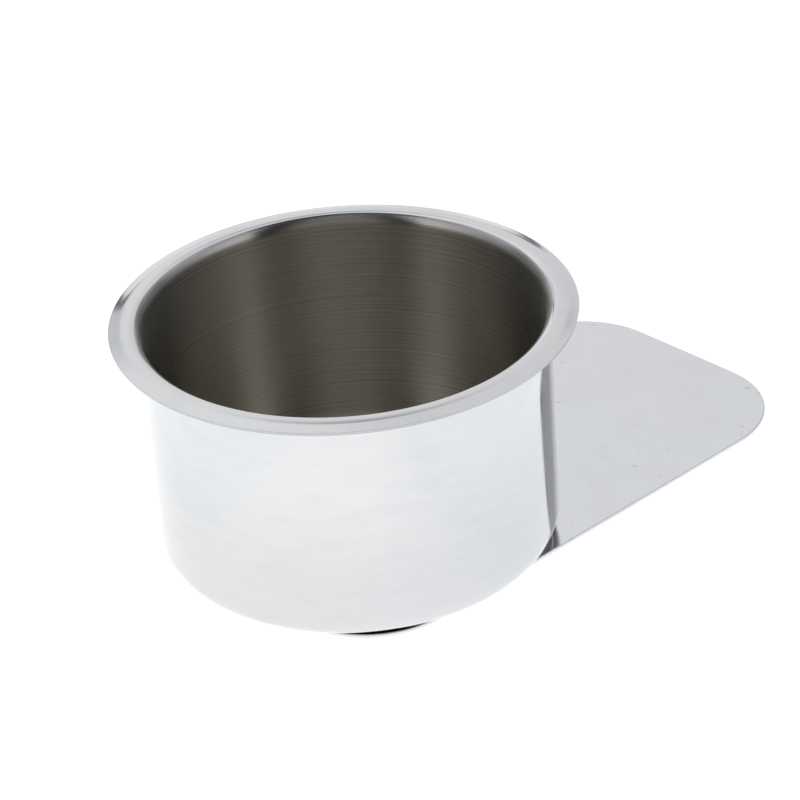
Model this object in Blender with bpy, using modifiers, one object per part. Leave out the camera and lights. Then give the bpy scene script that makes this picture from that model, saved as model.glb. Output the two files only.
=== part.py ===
"""Slide-under cup holder: a deep-drawn steel cup, welded to a flat plate that slides under a table top.

Metres, +Z up. The origin is on the cup's axis, at the underside of the plate, and the plate's long
end, the tongue, points along +X.
"""

import math

import bmesh
import bpy

# Driving dimensions

RIM_RADIUS = 0.0540  # outer edge of the flange
BODY_RADIUS = 0.0474  # outside of the straight wall
CUP_SHEET = 0.0008
CUP_HEIGHT = 0.06049  # underside of the cup to the flange's crest
FLOOR_CORNER = 0.0066  # outside radius between wall and floor
MOUTH_ROUND = 0.0028  # upper radius between wall and flange
FLANGE_FLAT = 0.0014  # how far the flange stays nearly level beyond its crest
FLANGE_KNEE = 0.0010  # how far it takes to bend down after that
LEVEL_SLOPE = math.radians(4)  # slope where the bend starts
EDGE_SLOPE = math.radians(16)  # and from its end out to the sheared edge

PLATE_SHEET = 0.0010
PLATE_NEAR_END = -0.0345
PLATE_FAR_END = 0.1146
PLATE_WIDTH = 0.0800
NEAR_CORNER = 0.0224
FAR_CORNER = 0.0238
PLATE_EDGE_ROUND = 0.0002
TABLE_EDGE = 0.0560  # where the table top's edge comes when the tongue is fully under it

WELD_COUNT = 4
WELD_RADIUS = 0.0027
WELD_CIRCLE = 0.0200  # radius of the circle that the welds stand on
WELD_RECESS = 0.00015  # how far a weld stays above the plate's underside
WELD_EDGE_ROUND = 0.0001

GAP = 0.0003  # between touching pieces
MERGE = 0.00001
TURN_STEPS = 72
CORNER_STEPS = 5
MOUTH_STEPS = 5
PLATE_CORNER_STEPS = 20
WELD_STEPS = 24

# Worked out from them

CUP_UNDERSIDE = PLATE_SHEET + GAP
CREST_LEVEL = CUP_UNDERSIDE + CUP_HEIGHT
MOUTH_CENTRE = BODY_RADIUS - CUP_SHEET + MOUTH_ROUND
# Where the flange's stretches end, each a distance beyond the crest, and the slopes there
FLANGE_STRETCHES = (
    (0.0, 0.0),
    (FLANGE_FLAT, LEVEL_SLOPE),
    (FLANGE_FLAT + FLANGE_KNEE / 2, (LEVEL_SLOPE + EDGE_SLOPE) / 2),
    (FLANGE_FLAT + FLANGE_KNEE, EDGE_SLOPE),
    (RIM_RADIUS - MOUTH_CENTRE, EDGE_SLOPE),
)


def clear_scene():
    for obj in list(bpy.data.objects):
        bpy.data.objects.remove(obj, do_unlink=True)


def new_collection(name):
    collection = bpy.data.collections.new(name)
    bpy.context.scene.collection.children.link(collection)
    return collection


def new_object(name, mesh, collection):
    obj = bpy.data.objects.new(name, mesh)
    collection.objects.link(obj)
    return obj


def steel(name, colour, roughness):
    material = bpy.data.materials.new(name)
    material.use_nodes = True
    shader = material.node_tree.nodes["Principled BSDF"]
    shader.inputs["Base Color"].default_value = (*colour, 1.0)
    shader.inputs["Metallic"].default_value = 1.0
    shader.inputs["Roughness"].default_value = roughness
    return material


def arc(centre, radius, start, end, steps):
    """Points on an arc around centre, from one angle to another, in degrees."""
    points = []
    for step in range(steps + 1):
        angle = math.radians(start + (end - start) * step / steps)
        points.append((centre[0] + radius * math.cos(angle), centre[1] + radius * math.sin(angle)))
    return points


def flange_top():
    """Radius, height and slope over the flange, from its crest to its sheared edge."""
    points = [(MOUTH_CENTRE, CREST_LEVEL, 0.0)]
    for (start, start_slope), (end, end_slope) in zip(FLANGE_STRETCHES, FLANGE_STRETCHES[1:]):
        drop = (end - start) * math.tan((start_slope + end_slope) / 2)
        points.append((MOUTH_CENTRE + end, points[-1][1] - drop, end_slope))
    return points


def cup_profile():
    """Radius and height from the middle of the floor, up the inside, over the rim and down the outside."""
    corner = (BODY_RADIUS - FLOOR_CORNER, CUP_UNDERSIDE + FLOOR_CORNER)
    mouth = (MOUTH_CENTRE, CREST_LEVEL - MOUTH_ROUND)
    top = flange_top()
    under = [
        (radius - CUP_SHEET * math.sin(slope), height - CUP_SHEET * math.cos(slope))
        for radius, height, slope in reversed(top)
    ]
    return [
        (0.0, CUP_UNDERSIDE + CUP_SHEET),
        *arc(corner, FLOOR_CORNER - CUP_SHEET, -90, 0, CORNER_STEPS),
        *arc(mouth, MOUTH_ROUND, 180, 90, MOUTH_STEPS),
        *((radius, height) for radius, height, _ in top[1:]),
        *under,
        *arc(mouth, MOUTH_ROUND - CUP_SHEET, 90, 180, MOUTH_STEPS)[1:],
        *arc(corner, FLOOR_CORNER, 0, -90, CORNER_STEPS),
        (0.0, CUP_UNDERSIDE),
    ]


def turned(name, profile, steps, collection):
    """A closed body: the profile turned around the Z axis."""
    mesh = bpy.data.meshes.new(name)
    edges = [(index, index + 1) for index in range(len(profile) - 1)]
    mesh.from_pydata([(radius, 0.0, height) for radius, height in profile], edges, [])
    obj = new_object(name, mesh, collection)
    screw = obj.modifiers.new("turn", "SCREW")
    screw.axis = "Z"
    screw.steps = steps
    screw.render_steps = steps
    screw.use_merge_vertices = True
    screw.merge_threshold = MERGE
    screw.use_smooth_shade = True
    return obj


def make_cup(collection):
    cup = turned("cup", cup_profile(), TURN_STEPS, collection)
    cup.data.materials.append(steel("cup_steel", (0.62, 0.62, 0.61), 0.12))


def plate_outline():
    """The plate's two stretches of outline, under the cup and along the tongue, each anticlockwise."""
    side = PLATE_WIDTH / 2
    near_x = PLATE_NEAR_END + NEAR_CORNER
    near_y = side - NEAR_CORNER
    far_x = PLATE_FAR_END - FAR_CORNER
    far_y = side - FAR_CORNER
    under_cup = [
        (TABLE_EDGE, side),
        *arc((near_x, near_y), NEAR_CORNER, 90, 180, PLATE_CORNER_STEPS),
        *arc((near_x, -near_y), NEAR_CORNER, 180, 270, PLATE_CORNER_STEPS),
        (TABLE_EDGE, -side),
    ]
    tongue = [
        (TABLE_EDGE, -side),
        *arc((far_x, -far_y), FAR_CORNER, 270, 360, PLATE_CORNER_STEPS),
        *arc((far_x, far_y), FAR_CORNER, 0, 90, PLATE_CORNER_STEPS),
        (TABLE_EDGE, side),
    ]
    return under_cup, tongue


def outline_mesh(name, outlines):
    """A flat mesh with one face for each outline, welded where they meet."""
    mesh = bpy.data.meshes.new(name)
    bm = bmesh.new()
    for outline in outlines:
        bm.faces.new([bm.verts.new((x, y, 0.0)) for x, y in outline])
    bmesh.ops.remove_doubles(bm, verts=bm.verts, dist=MERGE)
    bm.to_mesh(mesh)
    bm.free()
    return mesh


def make_plate(collection, cutters):
    plate = new_object("base_plate", outline_mesh("base_plate", plate_outline()), collection)
    sheet = plate.modifiers.new("sheet", "SOLIDIFY")
    sheet.thickness = PLATE_SHEET
    sheet.offset = 1.0
    edge = plate.modifiers.new("edge", "BEVEL")
    edge.width = PLATE_EDGE_ROUND
    edge.segments = 2
    edge.limit_method = "ANGLE"
    edge.angle_limit = math.radians(60)
    for cutter in cutters:
        seat = plate.modifiers.new(cutter.name, "BOOLEAN")
        seat.operation = "DIFFERENCE"
        seat.solver = "EXACT"
        seat.object = cutter
    plate.data.materials.append(steel("plate_steel", (0.66, 0.67, 0.68), 0.16))


def disc(name, radius, height, collection):
    """A disc on the XY plane, standing on it."""
    mesh = bpy.data.meshes.new(name)
    bm = bmesh.new()
    bmesh.ops.create_cone(
        bm, cap_ends=True, segments=WELD_STEPS, radius1=radius, radius2=radius, depth=height
    )
    bmesh.ops.translate(bm, verts=bm.verts, vec=(0.0, 0.0, height / 2))
    bm.to_mesh(mesh)
    bm.free()
    mesh.shade_smooth()
    mesh.set_sharp_from_angle(angle=math.radians(40))
    return new_object(name, mesh, collection)


def weld_places():
    """The middle of each weld, evenly around the cup's axis, between the plate's sides and ends."""
    for index in range(WELD_COUNT):
        angle = 2 * math.pi * (index + 0.5) / WELD_COUNT
        yield WELD_CIRCLE * math.cos(angle), WELD_CIRCLE * math.sin(angle)


def make_weld_seats(collection):
    """One cutter for each weld: the round seat in the plate that the weld fills."""
    seats = []
    for number, (x, y) in enumerate(weld_places(), 1):
        seat = disc(f"weld_seat_{number}", WELD_RADIUS + GAP, 3 * PLATE_SHEET, collection)
        seat.location = (x, y, -PLATE_SHEET)
        seat.display_type = "WIRE"
        seat.hide_render = True
        seats.append(seat)
    return seats


def make_welds(collection):
    """The nuggets that join the plate to the cup's floor."""
    material = steel("weld_steel", (0.50, 0.49, 0.48), 0.35)
    for number, (x, y) in enumerate(weld_places(), 1):
        weld = disc(f"spot_weld_{number}", WELD_RADIUS, PLATE_SHEET - WELD_RECESS, collection)
        weld.location = (x, y, WELD_RECESS)
        edge = weld.modifiers.new("edge", "BEVEL")
        edge.width = WELD_EDGE_ROUND
        edge.segments = 1
        edge.limit_method = "ANGLE"
        edge.angle_limit = math.radians(60)
        weld.data.materials.append(material)


def main():
    clear_scene()
    holder = new_collection("cup_holder")
    cutters = new_collection("cutters")
    make_cup(holder)
    make_plate(holder, make_weld_seats(cutters))
    make_welds(holder)


main()
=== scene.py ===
"""Looks of the slide-under cup holder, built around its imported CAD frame.

Metres, +Z up. The cup's axis is the Z axis and the tongue points along +X. The studio (floor, walls
and camera) is built with its back wall towards +Y, then turned about Z to the side the cup is seen from.
"""

import math

import bmesh
import bpy
from mathutils import Matrix, Vector


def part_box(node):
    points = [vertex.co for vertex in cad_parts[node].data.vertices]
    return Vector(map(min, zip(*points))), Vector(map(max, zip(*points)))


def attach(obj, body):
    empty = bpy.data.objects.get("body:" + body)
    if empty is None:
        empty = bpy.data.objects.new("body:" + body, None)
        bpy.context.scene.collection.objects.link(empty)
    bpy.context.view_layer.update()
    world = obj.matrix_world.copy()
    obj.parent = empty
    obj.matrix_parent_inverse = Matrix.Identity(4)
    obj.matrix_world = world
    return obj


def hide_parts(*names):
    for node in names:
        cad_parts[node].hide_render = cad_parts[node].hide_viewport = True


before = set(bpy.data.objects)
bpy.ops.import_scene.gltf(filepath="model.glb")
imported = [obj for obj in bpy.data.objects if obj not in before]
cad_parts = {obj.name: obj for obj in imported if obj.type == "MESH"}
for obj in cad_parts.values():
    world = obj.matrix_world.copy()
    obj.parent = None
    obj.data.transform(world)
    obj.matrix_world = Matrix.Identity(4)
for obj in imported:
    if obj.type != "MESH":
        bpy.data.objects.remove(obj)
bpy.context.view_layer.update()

# Sizes that the CAD fixes

CUP_LOW, CUP_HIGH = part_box("cup")
PLATE_LOW, PLATE_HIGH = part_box("base_plate")
RIM_RADIUS = CUP_HIGH.x
CUP_UNDERSIDE = CUP_LOW.z
CREST_LEVEL = CUP_HIGH.z
PLATE_SHEET = PLATE_HIGH.z
HALF_WIDTH = PLATE_HIGH.y
WELD_NAMES = [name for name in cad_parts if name.startswith("spot_weld")]

BODY_RADIUS = 0.0474  # outside of the straight wall
CUP_SHEET = 0.0008
FLOOR_CORNER = 0.0066  # outside radius between wall and floor
MOUTH_ROUND = 0.0028  # upper radius between wall and flange
WALL_RADIUS = BODY_RADIUS - CUP_SHEET  # inside of the straight wall
MOUTH_CENTRE = WALL_RADIUS + MOUTH_ROUND
NEAR_CORNER = 0.0224  # radii of the plate's corners
FAR_CORNER = 0.0238
SEAT_RADIUS = 0.0030  # of the weld seats through the plate

# Sizes of the visible surface alone

EDGE_ROUND = 0.00004  # upper edge of the flange's cut
EDGE_BURR = 0.00017  # and its lower edge
# The flange's slope in degrees, at distances out from its crest
FLANGE_SLOPES = ((0.0, 0), (0.0014, 4), (0.0024, 15.5), (0.0030, 16.5), (0.0045, 15))
EDGE_SLOPE = math.radians(FLANGE_SLOPES[-1][1])
FLANGE_WIDTH = RIM_RADIUS - EDGE_ROUND * (1 - math.sin(EDGE_SLOPE)) - MOUTH_CENTRE
MARK_RADIUS = 0.0030  # of an electrode's mark in the cup's floor
MARK_DEPTH = 0.00014
PLATE_EDGE_ROUND = 0.00022
WELD_GAP = 0.00004  # between a weld and its seat
WELD_FACE = 0.9  # share of a weld's radius that its hollowed face takes
WELD_HOLLOW = 0.00030  # level of the face's middle
WELD_DROP = 0.00022  # from there to the face's edge
WELD_RIM = 0.00016  # level of the corner around the face


def smooth(value):
    """0 to 1 with a gentle start and end, and no further either way."""
    value = min(1.0, max(0.0, value))
    return value * value * (3 - 2 * value)


def arc(centre, radius, start, end, steps):
    """Points on an arc around centre, from one angle to another, in degrees."""
    points = []
    for step in range(steps + 1):
        angle = math.radians(start + (end - start) * step / steps)
        points.append((centre[0] + radius * math.cos(angle), centre[1] + radius * math.sin(angle)))
    return points


def between(start, end, steps):
    """Points strictly between two ends, closer together near both."""
    points = []
    for step in range(1, steps):
        share = (1 - math.cos(math.pi * step / steps)) / 2
        points.append(tuple(a + (b - a) * share for a, b in zip(start, end)))
    return points


def middle(name):
    """The middle of a CAD node's box."""
    low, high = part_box(name)
    return (low + high) / 2


def new_object(name, bm, materials):
    mesh = bpy.data.meshes.new(name)
    bm.to_mesh(mesh)
    bm.free()
    for material in materials:
        mesh.materials.append(material)
    obj = bpy.data.objects.new(name, mesh)
    bpy.context.scene.collection.objects.link(obj)
    return obj


# ---------------------------------------------------------------- materials

BRUSHED_LIGHT = (0.72, 0.703, 0.643)
BRUSHED_DARK = (0.505, 0.491, 0.45)
BRUSHED_MOUTH = (0.47, 0.47, 0.487)
BRUSHED_ROUGHNESS = 0.285
MOUTH_ROUGHNESS = 0.12
MOUTH_TINT = (0.0467, 0.0474)  # radii between which the brushing's tint clears up
MOUTH_POLISH = (0.0474, 0.0483)  # and its roughness falls
FINE_STREAKS = 3300.0  # per metre
COARSE_STREAKS = 1600.0

POLISHED_LIGHT = (0.68, 0.68, 0.68)
POLISHED_DARK = (0.66, 0.67, 0.68)
POLISHED_ROUGHNESS = 0.07
PLATE_LIGHT = (0.72, 0.75, 0.765)
PLATE_DARK = (0.74, 0.725, 0.75)
PLATE_ROUGHNESS = 0.09
PIT_SIZE = 0.0025
WIPED = 0.965  # how much of its colour wiped steel keeps
PITTED = 0.8  # and a pit

CUT_LIGHT = (0.52, 0.53, 0.54)
CUT_DARK = (0.50, 0.51, 0.52)
# The burr is real, but its dark colours are painted shade: the shadow line under the flange's cut edge.
BURR_PAINTED_SHADOW_LIGHT = (0.15, 0.15, 0.16)
BURR_PAINTED_SHADOW_DARK = (0.12, 0.12, 0.13)
WELD_LIGHT = (0.46, 0.44, 0.41)
WELD_DARK = (0.30, 0.28, 0.27)


class Nodes:
    """A material's node tree with short ways to add to it."""

    def __init__(self, name):
        self.material = bpy.data.materials.new(name)
        self.material.use_nodes = True
        self.tree = self.material.node_tree
        self.shader = self.tree.nodes["Principled BSDF"]
        self.place = self.add("ShaderNodeTexCoord").outputs["Object"]

    def add(self, kind):
        return self.tree.nodes.new(kind)

    def link(self, source, target):
        self.tree.links.new(source, target)

    def scaled(self, scale, shift=(0.0, 0.0, 0.0)):
        node = self.add("ShaderNodeMapping")
        node.inputs["Scale"].default_value = scale
        node.inputs["Location"].default_value = shift
        self.link(self.place, node.inputs["Vector"])
        return node.outputs["Vector"]

    def axes(self):
        """The place's X, Y and Z, by name."""
        node = self.add("ShaderNodeSeparateXYZ")
        self.link(self.place, node.inputs["Vector"])
        return node.outputs

    def length(self, vector):
        node = self.add("ShaderNodeVectorMath")
        node.operation = "LENGTH"
        self.link(vector, node.inputs[0])
        return node.outputs["Value"]

    def noise(self, scale, detail=2.0, roughness=0.5, shift=(0.0, 0.0, 0.0), distortion=0.0):
        """Noise from about 0 to 1, whose grain is 1 / scale metres along each axis."""
        node = self.add("ShaderNodeTexNoise")
        node.inputs["Scale"].default_value = 1.0
        node.inputs["Detail"].default_value = detail
        node.inputs["Roughness"].default_value = roughness
        node.inputs["Distortion"].default_value = distortion
        self.link(self.scaled(scale, shift), node.inputs["Vector"])
        return node.outputs["Fac"]

    def rings(self, distance, scale):
        """Noise that changes only with a distance."""
        node = self.add("ShaderNodeTexNoise")
        node.noise_dimensions = "1D"
        node.inputs["Scale"].default_value = scale
        node.inputs["Detail"].default_value = 2.0
        node.inputs["Roughness"].default_value = 0.7
        self.link(distance, node.inputs["W"])
        return node.outputs["Fac"]

    def ramp(self, source, low, high, to_low=0.0, to_high=1.0):
        node = self.add("ShaderNodeMapRange")
        for name, value in (
            ("From Min", low), ("From Max", high), ("To Min", to_low), ("To Max", to_high)
        ):
            node.inputs[name].default_value = value
        self.link(source, node.inputs["Value"])
        return node.outputs["Result"]

    def math(self, operation, first, second):
        node = self.add("ShaderNodeMath")
        node.operation = operation
        for slot, value in enumerate((first, second)):
            if isinstance(value, (int, float)):
                node.inputs[slot].default_value = value
            else:
                self.link(value, node.inputs[slot])
        return node.outputs["Value"]

    def mix(self, factor, first, second):
        """A colour between two colours or colour outputs."""
        node = self.add("ShaderNodeMix")
        node.data_type = "RGBA"
        self.link(factor, node.inputs["Factor"])
        for name, value in (("A", first), ("B", second)):
            socket = next(s for s in node.inputs if s.name == name and s.type == "RGBA")
            if isinstance(value, tuple):
                socket.default_value = (*value, 1.0)
            else:
                self.link(value, socket)
        return next(s for s in node.outputs if s.type == "RGBA")

    def bump(self, height, distance, under=None):
        node = self.add("ShaderNodeBump")
        node.inputs["Distance"].default_value = distance
        node.inputs["Strength"].default_value = 1.0
        self.link(height, node.inputs["Height"])
        if under is not None:
            self.link(under, node.inputs["Normal"])
        return node.outputs["Normal"]


def steel_nodes(name):
    n = Nodes(name)
    n.shader.inputs["Metallic"].default_value = 1.0
    return n


def polished_steel(name, light, dark, roughness, pit_size=None):
    """Mirror-polished steel: slow tints, cloudy smudges, fine hairlines and a few small pits."""
    n = steel_nodes(name)
    cloud = n.noise((55.0, 55.0, 70.0), detail=4.0, roughness=0.6, distortion=0.6)
    tint = n.noise((28.0, 28.0, 28.0), detail=2.0, shift=(3.1, 1.7, 0.4))
    colour = n.mix(n.ramp(tint, 0.35, 0.65), light, dark)
    wiped = n.noise((90.0, 90.0, 300.0), detail=3.0, roughness=0.6, shift=(1.0, 2.0, 3.0))
    dull = tuple(value * WIPED for value in dark)
    colour = n.mix(n.ramp(wiped, 0.45, 0.8), colour, dull)
    if pit_size:
        pits = n.noise((1 / pit_size,) * 3, detail=1.0, shift=(9.0, 4.0, 6.0))
        pitted = tuple(value * PITTED for value in dark)
        colour = n.mix(n.ramp(pits, 0.74, 0.79), colour, pitted)
    n.link(colour, n.shader.inputs["Base Color"])
    n.link(n.ramp(cloud, 0.35, 0.75, roughness, roughness * 2.2), n.shader.inputs["Roughness"])
    waves = n.noise((25.0, 25.0, 25.0), detail=1.0, shift=(0.0, 5.0, 2.0))
    hairlines = n.noise((180.0, 180.0, 5200.0), detail=2.0)
    normal = n.bump(waves, 0.00008)
    normal = n.bump(hairlines, 0.0000012, under=normal)
    n.link(normal, n.shader.inputs["Normal"])
    return n.material


def brushed_steel(name, light, dark, mouth):
    """Steel brushed around the Z axis in streaks of two finenesses, and cleaner and smoother at the mouth."""
    n = steel_nodes(name)
    n.shader.inputs["Anisotropic"].default_value = 1.0
    n.shader.inputs["Anisotropic Rotation"].default_value = 0.25
    tangent = n.add("ShaderNodeTangent")
    tangent.direction_type = "RADIAL"
    tangent.axis = "Z"
    n.link(tangent.outputs["Tangent"], n.shader.inputs["Tangent"])
    radius = n.length(n.scaled((1.0, 1.0, 0.0)))
    along = n.math("ADD", radius, n.axes()["Z"])
    fading = n.ramp(n.noise((14.0, 14.0, 260.0), detail=2.0), 0.38, 0.62)
    fine = n.math("MULTIPLY", n.rings(along, FINE_STREAKS), fading)
    coarse = n.math("MULTIPLY", n.rings(along, COARSE_STREAKS), n.math("SUBTRACT", 1.0, fading))
    streaks = n.math("ADD", fine, coarse)
    colour = n.mix(n.ramp(streaks, 0.35, 0.72), dark, light)
    n.link(n.mix(n.ramp(radius, *MOUTH_TINT), colour, mouth), n.shader.inputs["Base Color"])
    polish = n.ramp(radius, *MOUTH_POLISH, BRUSHED_ROUGHNESS, MOUTH_ROUGHNESS)
    n.link(polish, n.shader.inputs["Roughness"])
    n.link(n.bump(streaks, 0.000001), n.shader.inputs["Normal"])
    return n.material


def sheared_steel(name, light, dark):
    """The unpolished grain of a sheared edge, in the colours given. The burr's colours are dark: the shadow
    line under the flange's edge is painted into them.
    """
    n = steel_nodes(name)
    grain = n.noise((4000.0, 4000.0, 1500.0), detail=2.0)
    n.link(n.mix(n.ramp(grain, 0.35, 0.65), light, dark), n.shader.inputs["Base Color"])
    n.link(n.ramp(grain, 0.3, 0.7, 0.26, 0.30), n.shader.inputs["Roughness"])
    return n.material


def weld_metal(name):
    """Pressed and heat-tinted steel of a spot weld."""
    n = steel_nodes(name)
    mottle = n.noise((900.0, 900.0, 900.0), detail=4.0, roughness=0.65)
    n.link(n.mix(n.ramp(mottle, 0.35, 0.65), WELD_LIGHT, WELD_DARK), n.shader.inputs["Base Color"])
    n.link(n.ramp(mottle, 0.3, 0.7, 0.28, 0.5), n.shader.inputs["Roughness"])
    n.link(n.bump(mottle, 0.00003), n.shader.inputs["Normal"])
    return n.material


# ---------------------------------------------------------------- the cup

TURN_STEPS = 216
FLOOR_STEPS = 60
CORNER_STEPS = 18
WALL_STEPS = 24
MOUTH_STEPS = 24
BRUSHED_STEPS = 16  # how many of the mouth's steps, from the wall up, are brushed
FLANGE_STEPS = 60
CUT_STEPS = 8
BURR_STEPS = 4
UNDER_STRIDE = 3  # flange steps that one step of its underside spans
UNDER_MOUTH_STEPS = 12
BODY_CORNER_STEPS = 20
UNDERSIDE_STEPS = 16


def inside_profile():
    """Radius and height from the middle of the cup's floor to the start of the mouth's rounding."""
    corner = (BODY_RADIUS - FLOOR_CORNER, CUP_UNDERSIDE + FLOOR_CORNER)
    corner_points = arc(corner, FLOOR_CORNER - CUP_SHEET, -90, 0, CORNER_STEPS)
    floor_level = CUP_UNDERSIDE + CUP_SHEET
    return [
        *((corner[0] * step / FLOOR_STEPS, floor_level) for step in range(FLOOR_STEPS)),
        *corner_points,
        *between(corner_points[-1], (WALL_RADIUS, CREST_LEVEL - MOUTH_ROUND), WALL_STEPS),
    ]


def flange_slope(distance):
    """The flange's slope at a distance out from its crest, eased from one stretch to the next."""
    for (start, low), (end, high) in zip(FLANGE_SLOPES, FLANGE_SLOPES[1:]):
        if distance <= end:
            return math.radians(low + (high - low) * smooth((distance - start) / (end - start)))
    return EDGE_SLOPE


def flange_profile():
    """Points over the flange from its crest outwards, each with its slope."""
    points = [(MOUTH_CENTRE, CREST_LEVEL, 0.0)]
    stride = FLANGE_WIDTH / FLANGE_STEPS
    for step in range(FLANGE_STEPS):
        height = points[-1][1] - stride * math.tan(flange_slope((step + 0.5) * stride))
        distance = (step + 1) * stride
        points.append((MOUTH_CENTRE + distance, height, flange_slope(distance)))
    return points


def outside_profile():
    """The rest: over the mouth and the flange, round the cut edge and down to the underside."""
    corner = (BODY_RADIUS - FLOOR_CORNER, CUP_UNDERSIDE + FLOOR_CORNER)
    mouth = (MOUTH_CENTRE, CREST_LEVEL - MOUTH_ROUND)
    flange = flange_profile()
    radius, height, slope = flange[-1]
    tilt = math.degrees(slope)
    edge = (radius - EDGE_ROUND * math.sin(slope), height - EDGE_ROUND * math.cos(slope))
    cut = CUP_SHEET - EDGE_ROUND - EDGE_BURR
    burr = (
        edge[0] + (EDGE_ROUND - EDGE_BURR) * math.cos(slope) - cut * math.sin(slope),
        edge[1] - (EDGE_ROUND - EDGE_BURR) * math.sin(slope) - cut * math.cos(slope),
    )
    under = [
        (x - CUP_SHEET * math.sin(angle), z - CUP_SHEET * math.cos(angle))
        for x, z, angle in reversed(flange[: -2 * UNDER_STRIDE : UNDER_STRIDE])
    ]
    under_mouth = arc(mouth, MOUTH_ROUND - CUP_SHEET, 90, 180, UNDER_MOUTH_STEPS)[1:]
    body_corner = arc(corner, FLOOR_CORNER, 0, -90, BODY_CORNER_STEPS)
    return [
        *arc(mouth, MOUTH_ROUND, 180, 90, MOUTH_STEPS),
        *((x, z) for x, z, _ in flange[1:]),
        *arc(edge, EDGE_ROUND, 90 - tilt, -tilt, CUT_STEPS)[1:],
        *arc(burr, EDGE_BURR, -tilt, -90 - tilt, BURR_STEPS),
        *under,
        *under_mouth,
        *between(under_mouth[-1], body_corner[0], WALL_STEPS),
        *body_corner,
        *(
            (body_corner[-1][0] * (1 - step / UNDERSIDE_STEPS), body_corner[-1][1])
            for step in range(1, UNDERSIDE_STEPS)
        ),
        (0.0, CUP_UNDERSIDE),
    ]


def lathe(name, profile, steps, materials, slot_of=lambda index: 0):
    """A closed body turned about Z. slot_of gives the material slot of each stretch of the profile."""
    bm = bmesh.new()
    rings = []
    for radius, height in profile:
        if radius == 0:
            rings.append([bm.verts.new((0.0, 0.0, height))] * steps)
            continue
        ring = []
        for step in range(steps):
            angle = 2 * math.pi * step / steps
            ring.append(bm.verts.new((radius * math.cos(angle), radius * math.sin(angle), height)))
        rings.append(ring)
    for index, (below, above) in enumerate(zip(rings, rings[1:])):
        for step in range(steps):
            after = (step + 1) % steps
            corners = []
            for vert in (below[step], above[step], above[after], below[after]):
                if vert not in corners:
                    corners.append(vert)
            face = bm.faces.new(corners)
            face.smooth = True
            face.material_index = slot_of(index)
    bmesh.ops.recalc_face_normals(bm, faces=bm.faces)
    return new_object(name, bm, materials)


def press_weld_marks(cup):
    """Sinks the shallow marks that the welding electrodes leave in the cup's floor."""
    floor_level = CUP_UNDERSIDE + CUP_SHEET
    for name in WELD_NAMES:
        centre = middle(name)
        for vert in cup.data.vertices:
            away = math.hypot(vert.co.x - centre.x, vert.co.y - centre.y)
            if away < MARK_RADIUS and abs(vert.co.z - floor_level) < CUP_SHEET / 4:
                vert.co.z -= MARK_DEPTH * (1 + math.cos(math.pi * away / MARK_RADIUS)) / 2


def make_cup():
    inside = inside_profile()
    profile = inside + outside_profile()
    materials = [
        brushed_steel("cup_brushed", BRUSHED_LIGHT, BRUSHED_DARK, BRUSHED_MOUTH),
        polished_steel("cup_polished", POLISHED_LIGHT, POLISHED_DARK, POLISHED_ROUGHNESS),
        sheared_steel("cup_cut_edge", CUT_LIGHT, CUT_DARK),
        # The burr's dark steel is painted shade, the shadow line along the flange's lower edge.
        sheared_steel("cup_burr_painted_shadow", BURR_PAINTED_SHADOW_LIGHT, BURR_PAINTED_SHADOW_DARK),
    ]
    brushed_end = len(inside) + BRUSHED_STEPS
    cut_start = len(inside) + MOUTH_STEPS + FLANGE_STEPS + CUT_STEPS // 2
    burr_start = cut_start + CUT_STEPS // 2 + 1
    ends = (brushed_end, cut_start, burr_start, burr_start + BURR_STEPS)
    finishes = (0, 1, 2, 3, 1)  # the slot up to each end, and the last one beyond them

    def finish_of(index):
        return finishes[sum(index >= end for end in ends)]

    cup = lathe("cup_shell", profile, TURN_STEPS, materials, finish_of)
    press_weld_marks(cup)
    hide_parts("cup")
    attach(cup, "root")


# ---------------------------------------------------------------- the plate

PLATE_CORNER_STEPS = 30
PLATE_EDGE_STEPS = 4
SEAT_STEPS = 40
WELD_STEPS = 48
WELD_FACE_STEPS = 12


def plate_outline(inset):
    """The plate's outline, anticlockwise, moved inwards by inset."""
    corners = (
        (PLATE_LOW.x, HALF_WIDTH, NEAR_CORNER, 90),
        (PLATE_LOW.x, -HALF_WIDTH, NEAR_CORNER, 180),
        (PLATE_HIGH.x, -HALF_WIDTH, FAR_CORNER, 270),
        (PLATE_HIGH.x, HALF_WIDTH, FAR_CORNER, 360),
    )
    points = []
    for x, y, radius, start in corners:
        centre = (x - math.copysign(radius, x), y - math.copysign(radius, y))
        points += arc(centre, radius - inset, start, start + 90, PLATE_CORNER_STEPS)
    return points


def ring_of(bm, points, height):
    return [bm.verts.new((x, y, height)) for x, y in points]


def bridge(bm, low, high):
    for index in range(len(low)):
        after = (index + 1) % len(low)
        bm.faces.new((low[index], low[after], high[after], high[index])).smooth = True


def edges_of(bm, ring):
    return [bm.edges.get((ring[i - 1], ring[i])) for i in range(len(ring))]


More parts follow.
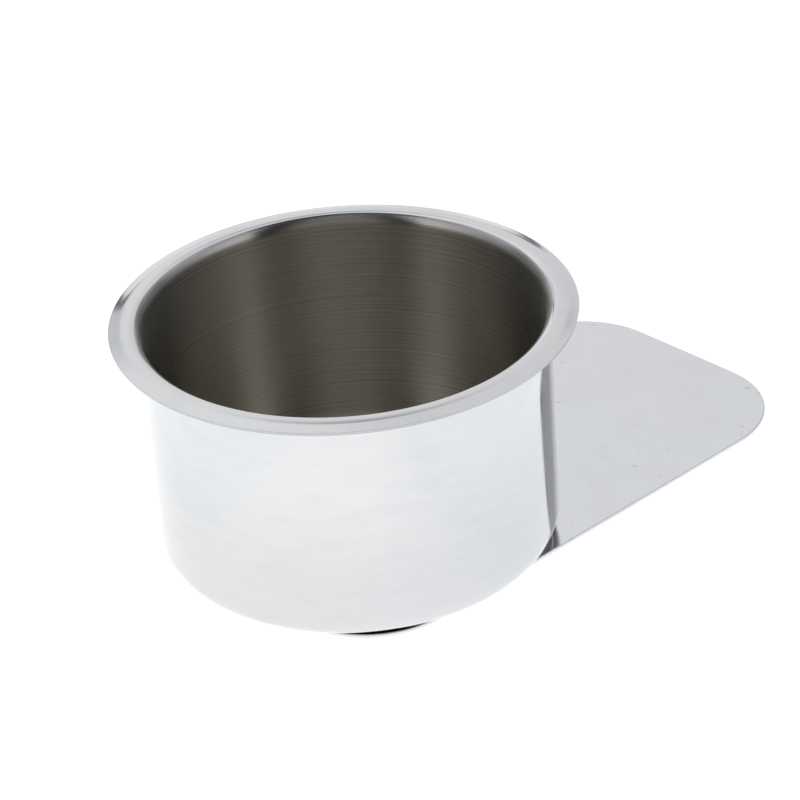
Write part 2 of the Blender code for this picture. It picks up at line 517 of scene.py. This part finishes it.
def make_plate():
    """The flat plate with rounded edges, and a round seat through it for each weld."""
    bm = bmesh.new()
    turn = PLATE_EDGE_ROUND
    section = [
        *arc((turn, turn), turn, 270, 180, PLATE_EDGE_STEPS),
        *arc((turn, PLATE_SHEET - turn), turn, 180, 90, PLATE_EDGE_STEPS),
    ]
    rings = [ring_of(bm, plate_outline(inset), height) for inset, height in section]
    for low, high in zip(rings, rings[1:]):
        bridge(bm, low, high)
    bottom, top = edges_of(bm, rings[0]), edges_of(bm, rings[-1])
    for name in WELD_NAMES:
        circle = arc(middle(name), SEAT_RADIUS, 0, 360, SEAT_STEPS)[:-1]
        under, over = ring_of(bm, circle, 0.0), ring_of(bm, circle, PLATE_SHEET)
        bridge(bm, over, under)
        bottom += edges_of(bm, under)
        top += edges_of(bm, over)
    for edges in (bottom, top):
        bmesh.ops.triangle_fill(bm, edges=edges, use_beauty=True, use_dissolve=False)
    bmesh.ops.recalc_face_normals(bm, faces=bm.faces)
    material = polished_steel("plate_polished", PLATE_LIGHT, PLATE_DARK, PLATE_ROUGHNESS, PIT_SIZE)
    plate = new_object("slide_plate", bm, [material])
    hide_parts("base_plate")
    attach(plate, "root")


def weld_profile(top):
    """From the middle of a weld's hollowed face, out to its side and up to its flat top."""
    radius = SEAT_RADIUS - WELD_GAP
    points = [(0.0, WELD_HOLLOW)]
    for step in range(1, WELD_FACE_STEPS + 1):
        share = step / WELD_FACE_STEPS
        points.append((radius * WELD_FACE * share, WELD_HOLLOW - WELD_DROP * share**3))
    return [*points, (radius, WELD_RIM), (radius, top), (0.0, top)]


def make_welds():
    """The pressed weld buttons, seen from under the plate."""
    material = weld_metal("weld_metal")
    for number, name in enumerate(WELD_NAMES, 1):
        centre = middle(name)
        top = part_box(name)[1].z
        weld = lathe(f"weld_button_{number}", weld_profile(top), WELD_STEPS, [material])
        weld.data.transform(Matrix.Translation((centre.x, centre.y, 0.0)))
        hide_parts(name)
        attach(weld, "root")


# ---------------------------------------------------------------- the studio

STUDIO_TURN = math.radians(-39.766)
STUDIO_RADIUS = 3.0
FLOOR_RADIUS = 3.03
FLOOR_SIDES = 128
FLOOR_DROP = 0.00015  # how far the floor stays below the plate
CAMERA_LENS = 135.8
CAMERA_AIM = Vector((0.0087, -0.0075, 0.0364))
CAMERA_PLACE = Vector((-0.3883, -0.4666, 0.3913))
CAMERA_ROLL = math.radians(-4.167)

# Light of the studio's parts
ROOM = (0.24, 0.226, 0.215)  # the open side, behind the camera
ROOM_HIGH = (0.36, 0.34, 0.325)
ROOM_EDGE = (0.012, 0.012, 0.012)
OVERHEAD_LEFT = (0.13, 0.127, 0.14)
OVERHEAD_RIGHT = (0.06, 0.058, 0.065)
BACK_LEFT = (1.0, 1.005, 1.02)
BACK_RIGHT = (0.87, 0.87, 0.885)
BACK_CORNER = (0.74, 0.75, 0.77)  # the back wall's lower left
SIDE_LOW = (0.12, 0.118, 0.125)
SIDE_HIGH = (0.70, 0.69, 0.70)
SIDE_FAR = (1.12, 1.10, 1.08)  # the side walls towards their open ends
SIDE_SHADE = (0.36, 0.355, 0.37)  # the upper middle of a side wall
SIDE_NOTCH = (0.17, 0.17, 0.18)  # the shaded gap between the back wall and a side wall
SWEEP = (0.97, 0.98, 0.99)  # the white sheet's rise at the foot of the back wall
SHEET_LINE = (0.13, 0.13, 0.16)  # its upper edge
SHEET_JOIN = (0.48, 0.48, 0.50)  # where the back wall's sheets meet

# Where they are, in degrees of elevation, or of azimuth from the middle of the back wall
WALL_TOP = 68
OPEN_SIDE = 141  # where the light behind the camera starts to rise
SIDE_END = 131
BACK_END = 34
BACK_FOOT_TOP = 9
JOIN_MIDDLE = 2
SHEET_MIDDLE = -1.7
SHEET_HALF = 15.5  # half its width
LINE_HALF = 17  # and half that of its upper edge
SHEET_TOP = 17.7
SHEET_FALL = 7.7  # how much lower it ends on the right

WALL_COLUMN = 1.5  # degrees of azimuth and of elevation that one face of the walls spans
WALL_ROW = 0.75
WALL_FOOT = -3

FLOOR_WHITE = 0.35
FLOOR_GLOW_LEFT = (1.03, 1.08, 1.11)
FLOOR_GLOW_FRONT = (1.125, 1.12, 1.13)
FLOOR_GLOW_RIGHT = (1.0, 1.025, 1.055)
FLOOR_GLOW_BACK = (0.60, 0.605, 0.615)
FLOOR_GLOW_IN_PAINTED_SHADOW = 0.91  # share of the glow that is left close to the cup, a painted contact shadow
# The soft borders between them: along X, along Y, and out from the cup's axis for the painted contact shadow
LEFT_BORDER = (-0.105, -0.065)
RIGHT_BORDER = (0.01, 0.06)
BACK_BORDER = (0.3, 0.8)
PAINTED_SHADOW_BORDER = (0.07, 0.115)


def rise(value, start, stretch):
    """0 up to start and 1 from a stretch beyond it, with a soft rise."""
    return smooth((value - start) / stretch)


def until(value, high, soft):
    """1 up to high and 0 beyond it, with a soft border."""
    return smooth((high - value) / soft + 0.5)


def within(value, low, high, soft):
    """1 between low and high and 0 beyond them, with soft borders."""
    return smooth((value - low) / soft + 0.5) * until(value, high, soft)


def blend(first, second, share):
    return tuple(a + (b - a) * share for a, b in zip(first, second))


def room_light(away, elevation, rightward):
    """The dark room: the overhead, and the open side behind the camera."""
    overhead = blend(OVERHEAD_LEFT, OVERHEAD_RIGHT, rightward)
    light = blend(ROOM_EDGE, overhead, rise(elevation, 60, 15))
    behind = blend(ROOM, ROOM_HIGH, rise(elevation, 50, 12))
    return blend(light, behind, rise(away, OPEN_SIDE, 20))


def side_light(away, elevation):
    """A side wall: brighter upwards and towards its open end, with a shade and a notch."""
    light = blend(SIDE_LOW, SIDE_HIGH, rise(elevation, 3, 45))
    light = blend(light, SIDE_SHADE, within(away, 55, 108, 24) * rise(elevation, 46, 14))
    light = blend(light, SIDE_NOTCH, within(away, 47, 63, 8) * smooth((40 - elevation) / 12))
    return blend(light, SIDE_FAR, rise(away, 80, 35) * rise(elevation, 12, 22))


def back_light(azimuth, elevation, rightward):
    """The back wall: duller at its lower corners, where its sheets meet and at both ends of its foot."""
    away = abs(azimuth)
    light = blend(BACK_LEFT, BACK_RIGHT, rightward)
    corner = smooth((-azimuth - 7) / 10) + 0.3 * rightward
    light = blend(light, BACK_CORNER, corner * smooth((38 - elevation) / 14))
    join = smooth(1 - abs(azimuth - JOIN_MIDDLE) / 14) * within(elevation, 39, 57, 8)
    light = blend(light, SHEET_JOIN, join)
    foot = blend(SIDE_HIGH, SIDE_LOW, rise(away, 10, 35))
    return blend(light, foot, within(away, 17, 90, 4) * until(elevation, BACK_FOOT_TOP, 3))


def with_sheet(light, azimuth, elevation):
    """The light with the white sheet's rise over it, and the dark line along the sheet's upper edge."""
    away = abs(azimuth - SHEET_MIDDLE)
    ends = rise(away, 8, 6)
    top = SHEET_TOP - SHEET_FALL * rise(azimuth, -10, 20)
    light = blend(light, SWEEP, until(away, SHEET_HALF, 2) * until(elevation, top, 1))
    line = until(away, LINE_HALF, 2) * within(elevation, top - 1 - 2.6 * ends, top, 1)
    return blend(light, SHEET_LINE, line * (0.2 + 0.8 * ends))


def wall_light(azimuth, elevation):
    """The light from a direction: azimuth from the middle of the back wall to the right, in degrees."""
    away = abs(azimuth)
    rightward = rise(azimuth, -20, 40)
    below_top = until(elevation, WALL_TOP, 4)
    side_end = SIDE_END - (6 + 10 * rightward) * rise(elevation, 25, 40)
    back_end = BACK_END - 8 * rightward * smooth((42 - elevation) / 12)
    light = room_light(away, elevation, rightward)
    side = side_light(away, elevation)
    light = blend(light, side, until(away, side_end, 6) * below_top)
    back = back_light(azimuth, elevation, rightward)
    light = blend(light, back, until(away, back_end, 10) * below_top)
    return with_sheet(light, azimuth, elevation)


def wall_point(azimuth, elevation):
    azimuth, elevation = math.radians(azimuth), math.radians(elevation)
    across = math.cos(elevation) * STUDIO_RADIUS
    return across * math.sin(azimuth), across * math.cos(azimuth), math.sin(elevation) * STUDIO_RADIUS


def light_material(name, layer):
    """A plain glow whose colour is a mesh's colour layer."""
    material = bpy.data.materials.new(name)
    material.use_nodes = True
    material.cycles.emission_sampling = "NONE"
    tree = material.node_tree
    tree.nodes.remove(tree.nodes["Principled BSDF"])
    source = tree.nodes.new("ShaderNodeVertexColor")
    source.layer_name = layer
    glow = tree.nodes.new("ShaderNodeEmission")
    tree.links.new(source.outputs["Color"], glow.inputs["Color"])
    tree.links.new(glow.outputs["Emission"], tree.nodes["Material Output"].inputs["Surface"])
    return material


def make_walls():
    """A dome around the floor, with the light of each direction worked out corner by corner."""
    bm = bmesh.new()
    shade = bm.loops.layers.float_color.new("light")
    azimuths = [step * WALL_COLUMN - 180 for step in range(round(360 / WALL_COLUMN))]
    elevations = [WALL_FOOT + step * WALL_ROW for step in range(round((90 - WALL_FOOT) / WALL_ROW) + 1)]
    grid = [
        [bm.verts.new(wall_point(azimuth, elevation)) for azimuth in azimuths] for elevation in elevations
    ]
    lights = [[wall_light(azimuth, elevation) for azimuth in azimuths] for elevation in elevations]
    for low in range(len(elevations) - 1):
        for left in range(len(azimuths)):
            right = (left + 1) % len(azimuths)
            places = ((low, left), (low, right), (low + 1, right), (low + 1, left))
            face = bm.faces.new([grid[row][column] for row, column in places])
            for loop, (row, column) in zip(face.loops, places):
                loop[shade] = (*lights[row][column], 1.0)
    walls = new_object("studio_walls", bm, [light_material("studio_light", "light")])
    walls.rotation_euler.z = STUDIO_TURN


def make_floor():
    """A white sheet that glows a little, unevenly and less close to the cup in a painted contact shadow, so
    that the steel has something to mirror.
    """
    bm = bmesh.new()
    bmesh.ops.create_circle(bm, cap_ends=True, segments=FLOOR_SIDES, radius=FLOOR_RADIUS)
    n = Nodes("floor_white")
    n.shader.inputs["Base Color"].default_value = (FLOOR_WHITE, FLOOR_WHITE, FLOOR_WHITE, 1.0)
    n.shader.inputs["Roughness"].default_value = 0.9
    n.shader.inputs["Specular IOR Level"].default_value = 0.0
    axes = n.axes()
    glow = n.mix(n.ramp(axes["X"], *LEFT_BORDER), FLOOR_GLOW_LEFT, FLOOR_GLOW_FRONT)
    glow = n.mix(n.ramp(axes["X"], *RIGHT_BORDER), glow, FLOOR_GLOW_RIGHT)
    glow = n.mix(n.ramp(axes["Y"], *BACK_BORDER), glow, FLOOR_GLOW_BACK)
    # Less glow close to the cup: a painted contact shadow.
    painted_shadow = n.ramp(n.length(n.place), *PAINTED_SHADOW_BORDER, FLOOR_GLOW_IN_PAINTED_SHADOW, 1.0)
    n.link(painted_shadow, n.shader.inputs["Emission Strength"])
    n.link(glow, n.shader.inputs["Emission Color"])
    floor = new_object("studio_floor", bm, [n.material])
    floor.location.z = -FLOOR_DROP
    floor.rotation_euler.z = STUDIO_TURN


def make_camera():
    """A long lens from above the front left, rolled a little."""
    data = bpy.data.cameras.new("camera")
    data.lens = CAMERA_LENS
    data.sensor_width = 36.0
    data.clip_start = 0.01
    camera = bpy.data.objects.new("camera", data)
    look = (CAMERA_AIM - CAMERA_PLACE).to_track_quat("-Z", "Y").to_matrix().to_4x4()
    roll = Matrix.Rotation(CAMERA_ROLL, 4, "Z")
    camera.matrix_world = Matrix.Translation(CAMERA_PLACE) @ look @ roll
    bpy.context.scene.collection.objects.link(camera)
    bpy.context.scene.camera = camera


def light_studio():
    scene = bpy.context.scene
    scene.view_settings.view_transform = "Standard"
    scene.world = bpy.data.worlds.new("studio")
    scene.world.use_nodes = True
    scene.world.node_tree.nodes["Background"].inputs["Color"].default_value = (*ROOM, 1.0)
    make_floor()
    make_walls()
    make_camera()


make_cup()
make_plate()
make_welds()
light_studio()
